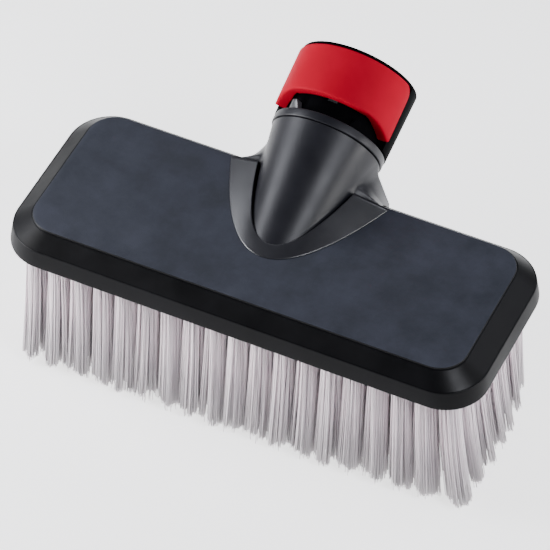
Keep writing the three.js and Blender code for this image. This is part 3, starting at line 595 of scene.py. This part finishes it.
def make_cover(grained, bevel, rim):
    """The cover's skin, with one finish for its top face, one for its bevel and one for its rim."""
    rings = [rounded_rectangle(*level) for level in cover_levels()]
    cover = lofted("cover_shell", rings, grained)
    cover.data.materials.append(bevel)
    cover.data.materials.append(rim)
    for face in cover.data.polygons:
        height = face.center.z / MM
        if height < RIM_TOP_Z - 0.2:
            face.material_index = 2
        elif height < TOP_FACE_Z - 0.02:
            face.material_index = 1
    return outward(cover)


def cone_half_width(y, z):
    """Half the width of the neck's cone at a place and a height."""
    back = y - SEAM_CENTRE[1]
    up = z - SEAM_CENTRE[2]
    along = back * math.cos(NECK_ANGLE) + up * math.sin(NECK_ANGLE)
    across = up * math.cos(NECK_ANGLE) - back * math.sin(NECK_ANGLE)
    radius = SEAM_RADIUS + NECK_TAPER * along
    return math.sqrt(max(0.0, radius * radius - across * across))


def crest_height(y):
    """Height of the collar's crest at a place along the head's width."""
    rise = (y - COLLAR_APEX_Y) / (COLLAR_FOOT_CORNER[1] - COLLAR_APEX_Y)
    return TOP_FACE_Z + COLLAR_STEP + COLLAR_CREST_HEIGHT * rise ** 0.75


def crest_apex():
    """Place where the collar's crest crosses the head's middle: where the neck's cone starts."""
    y = COLLAR_APEX_Y + 1
    while cone_half_width(y, crest_height(y)) <= 0:
        y += 0.01
    return y - 0.1


def collar_profile(share, crest_start):
    """Section of the collar, from its foot to the neck, at a share of the way from its apex to an end."""
    ease = share ** 2
    foot_y = COLLAR_APEX_Y + (COLLAR_FOOT_CORNER[1] - COLLAR_APEX_Y) * ease
    foot_x = math.sqrt(max(0.0, (foot_y - COLLAR_APEX_Y) / COLLAR_CURVE))
    crest_y = crest_start + (COLLAR_CREST_CORNER[1] - crest_start) * ease
    crest_z = crest_height(crest_y)
    groove = COLLAR_GROOVE * min(1.0, share / 0.45) ** 0.7
    crest_x = cone_half_width(crest_y, crest_z) + 0.2 + groove
    foot = np.array([foot_x, foot_y, TOP_FACE_Z])
    crest = np.array([crest_x if share > 0 else 0.0, crest_y, crest_z])
    inward = crest - foot
    inward[2] = 0
    inward /= max(1e-6, np.linalg.norm(inward))
    sunk = np.array([0, 0, -COLLAR_SUNK])
    return rounded_path([
        foot + sunk,
        foot + np.array([0, 0, COLLAR_STEP]),
        crest,
        np.array([*(crest + 0.3 * inward)[:2], crest[2] - 0.6 * (crest[2] - TOP_FACE_Z)]),
        np.array([*(crest + 0.6 * inward)[:2], TOP_FACE_Z - COLLAR_SUNK]),
    ], (0.35, 0.5, 0.3), steps=4)


def make_collar(material):
    """The raised saddle round the neck: one side is worked out and the other mirrors it."""
    shares = np.linspace(0, 1, 61)
    start = crest_apex()
    right = [collar_profile(share, start) for share in shares]
    mirror = np.array([-1, 1, 1])
    left = [[point * mirror for point in profile] for profile in right[:0:-1]]
    return outward(lofted("cover_collar", left + right, material))


# ---------------------------------------------------------------- neck

def smooth_max(first, second, blend):
    """The larger of two fields, with the corner between them rounded over a width."""
    mix = np.clip(0.5 - 0.5 * (second - first) / blend, 0, 1)
    return second * (1 - mix) + first * mix + blend * mix * (1 - mix)


def smooth_min(first, second, blend):
    """The smaller of two fields, with the corner between them rounded over a width."""
    return -smooth_max(-first, -second, blend)


CHEEK_STATIONS = np.array([
    # y, outer half width, foot height, shoulder half width
    [29.4, 24.0, 14.0, 17.8],
    [33.3, 32.6, 14.4, 19.3],
    [38.0, 31.4, 8.5, 20.2],
    [44.0, 29.4, 4.5, 21.1],
    [47.4, 28.2, 2.6, 21.7],
])
CHEEK_SHOULDER = 22.2
CHEEK_BACK_Y = 47.4
CHEEK_BLEND = 1.8
NECK_FOOT_Z = RIM_BOTTOM_Z + 0.5
RAY_LENGTH = 48.0
HALVINGS = 40


def neck_field(points):
    """Signed distance, roughly, from the neck's skin: negative inside."""
    x, y, z = np.abs(points[..., 0]), points[..., 1], points[..., 2] - RIM_BOTTOM_Z
    offset = points - SEAM_CENTRE
    along = offset @ NECK_AXIS
    radial = np.linalg.norm(offset - along[..., None] * NECK_AXIS, axis=-1)
    cone = radial - (SEAM_RADIUS + NECK_TAPER * along)
    stations = CHEEK_STATIONS.T
    outer, foot, shoulder = (np.interp(y, stations[0], row) for row in stations[1:])
    rise = (z - foot) / (CHEEK_SHOULDER - foot)
    half = np.where(rise > 0, outer + (shoulder - outer) * rise, outer)
    side = 0.8 * (x - half)
    foot_corner, crest_corner = COLLAR_FOOT_CORNER, COLLAR_CREST_CORNER
    slope = (foot_corner[1] - crest_corner[1]) / (foot_corner[0] - crest_corner[0])
    front_y = crest_corner[1] + 0.3 + slope * np.maximum(0, x - crest_corner[0])
    cheek = smooth_max(side, 0.9 * (z - CHEEK_SHOULDER), 2.0)
    cheek = smooth_max(cheek, front_y - y, 0.5)
    cheek = smooth_max(cheek, y - CHEEK_BACK_Y, 1.4)
    whole = smooth_min(cone, cheek, CHEEK_BLEND)
    return smooth_max(whole, NECK_FOOT_Z - points[..., 2], 1.0)


def make_neck(material):
    """The neck's skin, found along rays that leave its axis at right angles."""
    stations = np.concatenate([np.linspace(-57, -3, 120), np.linspace(-2.6, -0.15, 12)])
    angles = np.radians(np.arange(288) * 360 / 288)
    centres = SEAM_CENTRE + stations[:, None] * NECK_AXIS
    rays = np.cos(angles)[:, None] * NECK_TOP + np.sin(angles)[:, None] * SIDEWAYS
    low = np.zeros((len(stations), len(angles)))
    high = np.full_like(low, RAY_LENGTH)
    for _ in range(HALVINGS):
        middle = (low + high) / 2
        inside = neck_field(centres[:, None] + middle[..., None] * rays[None]) < 0
        low = np.where(inside, middle, low)
        high = np.where(inside, high, middle)
    reach = np.maximum(low, 0.4)
    points = centres[:, None] + reach[..., None] * rays[None]
    seam = []
    for inset, along in ((0.12, 0.06), (0.45, 0.12), (3.0, 0.12)):
        seam.append(points[-1] - inset * rays + along * NECK_AXIS)
    rings = list(points) + seam
    neck = outward(lofted("neck_shell", rings, material))
    grown_length, grown_width, grown_corner = RIM_LENGTH + 0.5, RIM_WIDTH + 0.5, RIM_CORNER + 0.25
    cutter_rings = [
        rounded_rectangle(grown_length, grown_width, grown_corner, RIM_BOTTOM_Z - 3),
        rounded_rectangle(grown_length, grown_width, grown_corner, RIM_BOTTOM_Z),
        rounded_rectangle(RIM_TOP_OUTLINE[0] + 0.5, RIM_TOP_OUTLINE[1] + 0.5, RIM_CORNER, RIM_TOP_Z),
        rounded_rectangle(TOP_FACE_LENGTH + 0.5, TOP_FACE_WIDTH + 0.5, TOP_FACE_CORNER, TOP_FACE_Z - 0.3),
    ]
    cutter = outward(lofted("cutter", cutter_rings, material))
    carve(neck, [cutter])
    return smooth_by_angle(neck, 40)


# ---------------------------------------------------------------- coupling

def make_ring(material):
    """Retaining ring between neck and coupling."""
    profile = rounded_path([
        (RING_HOLE_RADIUS, 2.0), (RING_HOLE_RADIUS, RING_START), (RING_RADIUS, RING_START),
        (RING_RADIUS, RING_END), (RING_HOLE_RADIUS, RING_END), (RING_HOLE_RADIUS, 2.0),
    ], (0, 0.6, 0.5, 0), steps=4)[:-1]
    return smooth_by_angle(turned("collar_ring", profile, material), 30)


def window_cutter(material):
    """Sector that is cut from the housing's wall to make room for the slide."""
    inner, outer = WINDOW_FLOOR_RADIUS, SLIDE_OUTER_RADIUS + 1.7
    end = SLIDE_END + 0.4
    rings = []
    for degrees in np.linspace(-WINDOW_HALF_ANGLE, WINDOW_HALF_ANGLE, 61):
        rings.append([
            around_neck(WINDOW_START, degrees, inner), around_neck(WINDOW_START, degrees, outer),
            around_neck(end, degrees, outer), around_neck(end, degrees, inner),
        ])
    return outward(lofted("cutter", rings, material))


def guide_rib(degrees, material):
    """Wedge that guides the slide, widest at the retaining ring."""
    out = away_from_neck(degrees)
    across = np.cross(NECK_AXIS, out)
    foot, tip = GUIDE_RIB_FOOT_WIDTH / 2, GUIDE_RIB_TIP_WIDTH / 2
    rings = []
    for near_radius, far_radius in ((19.0, 19.0), (21.9, 23.0)):
        rings.append([
            SEAM_CENTRE + along * NECK_AXIS + radius * out + side * across
            for along, side, radius in (
                (HOUSING_START, -foot, near_radius), (HOUSING_START, foot, near_radius),
                (GUIDE_RIB_TIP, tip, far_radius), (GUIDE_RIB_TIP, -tip, far_radius),
            )
        ])
    return outward(lofted("rib", rings, material))


def make_housing(outside, inside):
    """Turned body with its window and slots; the end face and the socket have a finish of their own."""
    profile = rounded_path([
        (WATER_RADIUS, -2), (WATER_RADIUS, -8), (SPIGOT_RADIUS, -8), (SPIGOT_RADIUS, HOUSING_START),
        (HOUSING_RADIUS, HOUSING_START), (FLANGE_RADIUS, HOUSING_END),
        (SOCKET_RADIUS + SOCKET_CHAMFER, HOUSING_END), (SOCKET_RADIUS, HOUSING_END - 1.5),
        (SOCKET_RADIUS, SOCKET_FLOOR), (SEAL_SEAT_RADIUS, SOCKET_FLOOR), (SEAL_SEAT_RADIUS, -1.4),
        (WATER_RADIUS, -1.4), (WATER_RADIUS, -2),
    ], (0, 0.4, 0, 0.4, 0, 0.6, 0.4, 0.4, 0, 0.3, 0, 0), steps=3)[:-1]
    housing = turned("coupling_body", profile, outside, sides=192)
    cutters = [window_cutter(outside)]
    for degrees in (90, -90):
        cutters.append(neck_block(degrees, 6.0, 11.5, 16.2, 15, HOUSING_END + 1, outside))
    for degrees in (SPRING_ANGLE, -SPRING_ANGLE):
        cutters.append(neck_block(degrees, CHANNEL_WIDTH, CHANNEL_FLOOR_RADIUS, 21.0, 13, 31, outside))
    cutters.append(neck_block(0, 6.2, 11.5, 21.0, 11, 22, outside))
    carve(housing, cutters)
    soften(housing, 0.28)
    housing.data.materials.clear()
    housing.data.materials.append(outside)
    housing.data.materials.append(inside)
    for face in housing.data.polygons:
        offset = np.array(face.center) / MM - SEAM_CENTRE
        along = offset @ NECK_AXIS
        radius = np.linalg.norm(offset - along * NECK_AXIS)
        at_end = along > HOUSING_END - 0.05 and radius < FLANGE_RADIUS - 0.7
        in_socket = along > 2 and radius < SOCKET_RADIUS + SOCKET_CHAMFER + 0.05
        face.material_index = int(at_end or in_socket)
    return smooth_by_angle(housing, 30)


def make_guides(left, right):
    """The left guide rib gets a lighter, glossier grey that is a painted highlight; the right one is as black
    as the housing.
    """
    ribs = [guide_rib(-GUIDE_RIB_ANGLE, left), guide_rib(GUIDE_RIB_ANGLE, right)]
    for rib in ribs:
        soften(rib, 0.3)
        smooth_by_angle(rib, 30)
    return ribs


def slide_section(degrees):
    """Rounded outline of the slide's wall at an angle from the top, in radius and place along."""
    outer = SLIDE_OUTER_RADIUS
    from_edge = math.radians(SLIDE_HALF_ANGLE - abs(degrees)) * outer
    into = max(0.0, 1 - from_edge / SLIDE_CORNER)
    end = SLIDE_END - SLIDE_CORNER * (1 - math.sqrt(max(0.0, 1 - into * into)))
    tab = max(0.0, (abs(degrees) - SLIDE_TAB_ANGLE) / (SLIDE_HALF_ANGLE - SLIDE_TAB_ANGLE))
    start = SLIDE_START - SLIDE_TAB_LENGTH * tab ** 1.6
    thin = 1.0
    if from_edge < SLIDE_EDGE:
        thin = math.sqrt(max(0.0, 1 - (1 - from_edge / SLIDE_EDGE) ** 2))
    wall = SLIDE_WALL + (SLIDE_TAB_WALL - SLIDE_WALL) * min(1.0, 2 * tab)
    half = wall / 2 * (0.25 + 0.75 * thin)
    low = start + 0.6 * (1 - thin)
    high = end - 0.6 * (1 - thin)
    inner = outer - 2 * half
    lip = inner if tab else outer - SLIDE_LIP_WALL
    far = low + SLIDE_LIP_LENGTH
    corners = [
        ((outer + lip) / 2, low), (outer, low), (outer, high), (inner, high), (inner, far + 0.3),
        (lip, far), (lip, low), ((outer + lip) / 2, low),
    ]
    size = min(0.8, 0.9 * half)
    nose = min(0.9 + min(1.6, 3 * tab), 0.95 * half)
    return rounded_path(corners, (nose, size, size, 0, 0, 0.3 * size), steps=5)[:-1]


def make_slide(material):
    """The red slide: sections round the housing, closest together near its ends, and two ribs inside."""
    edge_span = math.degrees(7.0 / SLIDE_OUTER_RADIUS)
    fine = SLIDE_HALF_ANGLE - edge_span * (1 - np.cos(np.linspace(0, math.pi / 2, 18)))
    middle = np.linspace(-(SLIDE_HALF_ANGLE - edge_span), SLIDE_HALF_ANGLE - edge_span, 72)[1:-1]
    places = np.concatenate([-fine, middle, fine[::-1]])
    rings = [[around_neck(along, degrees, radius) for radius, along in slide_section(degrees)]
             for degrees in places]
    slide = outward(lofted("slide_shell", rings, material))
    inner = SLIDE_OUTER_RADIUS - SLIDE_WALL
    ribs = [neck_block(degrees, CHANNEL_WIDTH - 0.6, CHANNEL_FLOOR_RADIUS + 0.3, inner + 0.6,
                       SPRING_END + 0.4, 29.0, material)
            for degrees in (SPRING_ANGLE, -SPRING_ANGLE)]
    carve(slide, ribs, "UNION")
    return smooth_by_angle(slide, 35)


def make_spring(degrees, material):
    """Coil of round wire lying along the neck's axis, finer than the CAD node it stands for."""
    steps, sides = 192, 10
    turn = np.linspace(0, 2 * math.pi * SPRING_TURNS, steps)
    middle = around_neck(0, degrees, SPRING_CENTRE_RADIUS)
    out = away_from_neck(degrees)
    across = np.cross(NECK_AXIS, out)
    from_middle = np.cos(turn)[:, None] * out + np.sin(turn)[:, None] * across
    along = np.linspace(SPRING_START + SPRING_WIRE, SPRING_END - SPRING_WIRE, steps)
    centre = middle + SPRING_RADIUS * from_middle + along[:, None] * NECK_AXIS
    corner = np.arange(sides) * 2 * math.pi / sides
    sideways = np.cos(corner)[None, :, None] * from_middle[:, None]
    rings = centre[:, None] + SPRING_WIRE * (sideways + np.sin(corner)[None, :, None] * NECK_AXIS)
    side = "left" if degrees < 0 else "right"
    spring = outward(lofted(f"spring_coil_{side}", list(rings), material))
    return smooth_by_angle(spring, 60)


# ---------------------------------------------------------------- bristles

FILAMENT_SIDES = 3
FILAMENT_RINGS = 5
FILAMENT_RADIUS = 0.21
FILAMENTS_OUTSIDE = 340          # in each tuft of an outer row or at the end of a row
FILAMENTS_INSIDE = 150           # in each other tuft
ROOT_SPREAD = 3.9
TIP_SPREAD = np.array([5.8, 5.4])
CLUMPS_PER_TUFT = 8
CLUMP_PULL = 0.32
FRONT_LEAN = 4.6
RIGHT_LEAN = 6.2
END_LEAN = 0.6
BACK_LEAN = 1.0


def filament_rows(rng, tuft_x, tuft_y, count):
    """Centre lines of the filaments of one tuft, as an array of count x rings x 3."""
    turn = rng.uniform(0, 2 * math.pi, count)
    reach = np.sqrt(rng.uniform(0, 1, count))[:, None]
    place = reach * np.stack([np.cos(turn), np.sin(turn)], 1)
    clump_turn = rng.uniform(0, 2 * math.pi, CLUMPS_PER_TUFT)
    clump_reach = np.sqrt(rng.uniform(0, 1, CLUMPS_PER_TUFT))[:, None]
    clumps = 0.95 * clump_reach * np.stack([np.cos(clump_turn), np.sin(clump_turn)], 1)
    apart = np.linalg.norm(place[:, None] - clumps[None], axis=2)
    nearest = apart.argmin(1)
    gathered = (1 - CLUMP_PULL) * place + CLUMP_PULL * clumps[nearest]
    tip = gathered * TIP_SPREAD + rng.normal(0, 0.35, (count, 2))
    edge_x = (TUFTS_PER_ROW - 1) / 2 * TUFT_PITCH_X
    edge_y = (ROW_COUNT - 1) / 2 * TUFT_PITCH_Y
    right, rear, front = max(0, tuft_x / edge_x), max(0, tuft_y / edge_y), max(0, -tuft_y / edge_y)
    at_end = np.sign(tuft_x) * (abs(tuft_x) / edge_x) ** 12
    lean = np.array([
        END_LEAN * at_end + RIGHT_LEAN * right ** 4 * (1 - 0.8 * rear ** 2),
        BACK_LEAN * rear ** 4 - FRONT_LEAN * front ** 4 * (1 - 0.6 * right ** 4),
    ])
    top = block_low[2] + 0.3
    clump_end = rng.uniform(-2.2, 0.4, CLUMPS_PER_TUFT)
    bottom = clump_end[nearest] + 2.8 * apart.min(1) + np.abs(rng.normal(0, 0.9, count))
    stray = rng.uniform(0, 1, count) < 0.06
    bottom[stray] = rng.uniform(-2.6, -0.8, stray.sum())
    share = np.linspace(0, 1, FILAMENT_RINGS)
    bend = (share ** 0.85)[None, :, None]
    lines = np.empty((count, FILAMENT_RINGS, 3))
    lines[..., :2] = (ROOT_SPREAD * place)[:, None] * (1 - bend) + tip[:, None] * bend
    lines[..., :2] += lean * (share ** 1.5)[None, :, None] + np.array([tuft_x, tuft_y])
    lines[..., 2] = top + (bottom[:, None] - top) * share[None]
    return lines


def make_bristle_row(index, material):
    """All filaments of one row of tufts, as one piece of thin three-sided rods."""
    rng = np.random.default_rng(700 + index)
    y = (index - (ROW_COUNT - 1) / 2) * TUFT_PITCH_Y
    outer_row = index in (0, ROW_COUNT - 1)
    lines = []
    for tuft in range(TUFTS_PER_ROW):
        x = (tuft - (TUFTS_PER_ROW - 1) / 2) * TUFT_PITCH_X
        seen = outer_row or tuft in (0, TUFTS_PER_ROW - 1)
        lines.append(filament_rows(rng, x, y, FILAMENTS_OUTSIDE if seen else FILAMENTS_INSIDE))
    lines = np.concatenate(lines)
    count = len(lines)
    thickness = np.linspace(1, 0.8, FILAMENT_RINGS) * FILAMENT_RADIUS
    turn = rng.uniform(0, 2 * math.pi, count)
    corner = np.arange(FILAMENT_SIDES) * 2 * math.pi / FILAMENT_SIDES
    around = turn[:, None] + corner[None]
    points = np.repeat(lines[:, :, None, :], FILAMENT_SIDES, axis=2)
    points[..., 0] += thickness[None, :, None] * np.cos(around)[:, None]
    points[..., 1] += thickness[None, :, None] * np.sin(around)[:, None]
    faces = np.array(grid_faces(FILAMENT_RINGS, FILAMENT_SIDES))
    per = FILAMENT_RINGS * FILAMENT_SIDES
    ends = np.array([(0, 1, 2), (per - 1, per - 2, per - 3)])
    starts = np.arange(count) * per
    all_faces = (faces[None] + starts[:, None, None]).reshape(-1, 4).tolist()
    all_faces += (ends[None] + starts[:, None, None]).reshape(-1, 3).tolist()
    return outward(mesh_object(f"tufts_{index + 1}", points.reshape(-1, 3), all_faces, material))


# ---------------------------------------------------------------- assembly

def declare(piece, body, node):
    """Says which body a piece rides on and hides the CAD node it stands for."""
    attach(piece, body)
    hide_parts(node)


def add_spring(side, degrees, material):
    """A spring on the head, with a mesh of its own."""
    spring = make_spring(degrees, material)
    declare(spring, "head", f"release_spring_{side}")
    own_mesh(spring)


make_camera()
make_stage()
for name, setting in LIGHTS.items():
    area_light(name, *setting)

materials = make_materials()

cover = make_cover(materials["cover"], materials["cover_bevel"], materials["cover_rim"])
declare(cover, "head", "top_cover")
declare(make_collar(materials["collar"]), "head", "top_cover")
declare(make_neck(materials["neck"]), "head", "neck")
declare(make_ring(materials["neck"]), "head", "retaining_ring")
declare(make_housing(materials["coupling"], materials["socket"]), "head", "coupling_housing")
# the left rib takes the painted-highlight grey, the right one the housing's black
for rib in make_guides(materials["guide"], materials["coupling"]):
    declare(rib, "head", "coupling_housing")
declare(make_slide(materials["release"]), "release", "release_slide")
for side, degrees in (("left", -SPRING_ANGLE), ("right", SPRING_ANGLE)):
    add_spring(side, degrees, materials["steel"])
for row in range(ROW_COUNT):
    declare(make_bristle_row(row, materials["bristle"]), "head", f"bristle_row_{row + 1}")

# The CAD nodes that are shown as they are get the material of their slot.
for part in frame["record"]["subparts"]:
    thing = bpy.data.objects.get(part["node"])
    if thing is not None and thing.type == "MESH":
        thing.data.materials.clear()
        thing.data.materials.append(materials[part["material_slot"]])
